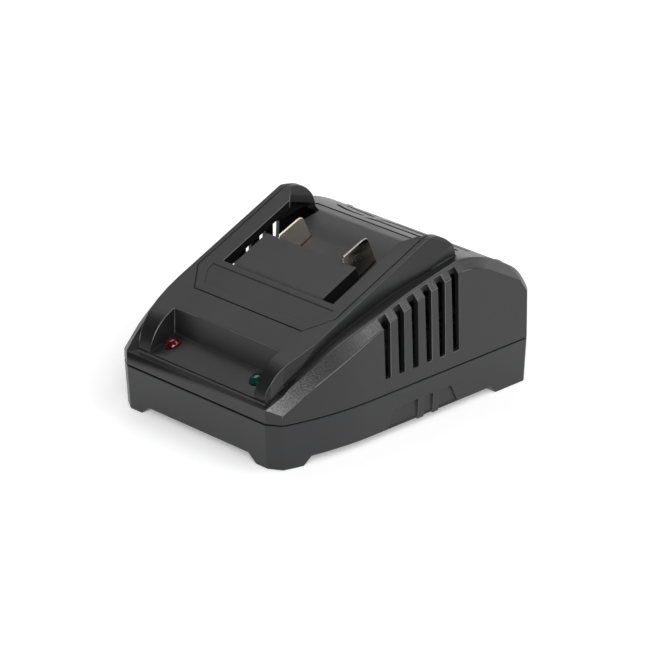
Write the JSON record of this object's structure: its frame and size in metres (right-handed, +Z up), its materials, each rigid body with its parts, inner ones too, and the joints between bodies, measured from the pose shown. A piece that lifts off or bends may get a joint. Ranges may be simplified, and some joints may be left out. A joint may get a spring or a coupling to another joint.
{
  "type": "power tool battery charger",
  "caption": "Desktop charger with a sloping slide-on docking tower, a terminal block with contact blades between two rails, indicator lamps in a front recess and vented side walls.",
  "frame": {"origin": "centre of the footprint, on the surface the four feet stand on", "axes": "+Z up, +Y from the lamps at the front to the mains inlet at the rear, +X to the right as seen from the front"},
  "size_m": [0.09, 0.1166, 0.0609],
  "materials": {
    "shell_plastic": "satin",
    "holder_plastic": "satin",
    "contact_metal": "satin",
    "red_lens": "gloss",
    "green_lens": "gloss",
    "tinned_metal": "satin",
    "screw_steel": "satin",
    "board_laminate": "satin",
    "inlet_plastic": "satin",
    "pin_metal": "satin",
    "fuse_ceramic": "satin",
    "grey_case": "satin",
    "ferrite": "matte",
    "enamelled_copper": "gloss",
    "black_epoxy": "matte",
    "blue_sleeve": "gloss",
    "sink_aluminium": "satin",
    "bobbin_plastic": "matte",
    "winding_tape": "satin",
    "white_epoxy": "matte"
  },
  "bodies": {
    "root": {"upper_housing": "shell_plastic", "lower_housing": "shell_plastic", "terminal_holder": "holder_plastic", "positive_blade": "contact_metal", "negative_blade": "contact_metal", "red_led": "red_lens", "green_led": "green_lens", "led_leads": "tinned_metal", "housing_screws": "screw_steel", "main_board": "board_laminate", "board_screws": "screw_steel", "mains_inlet_shell": "inlet_plastic", "mains_inlet_pins": "pin_metal", "input_wires": "tinned_metal", "fuse": "fuse_ceramic", "x_capacitor": "grey_case", "choke_core": "ferrite", "choke_winding": "enamelled_copper", "bridge_rectifier": "black_epoxy", "bulk_capacitor": "blue_sleeve", "switching_transistor": "black_epoxy", "primary_heat_sink": "sink_aluminium", "transformer_core": "ferrite", "transformer_bobbin": "bobbin_plastic", "transformer_winding": "winding_tape", "output_rectifier": "black_epoxy", "secondary_heat_sink": "sink_aluminium", "output_capacitors": "blue_sleeve", "optocoupler": "white_epoxy", "control_chip": "black_epoxy"}
  },
  "joints": []
}
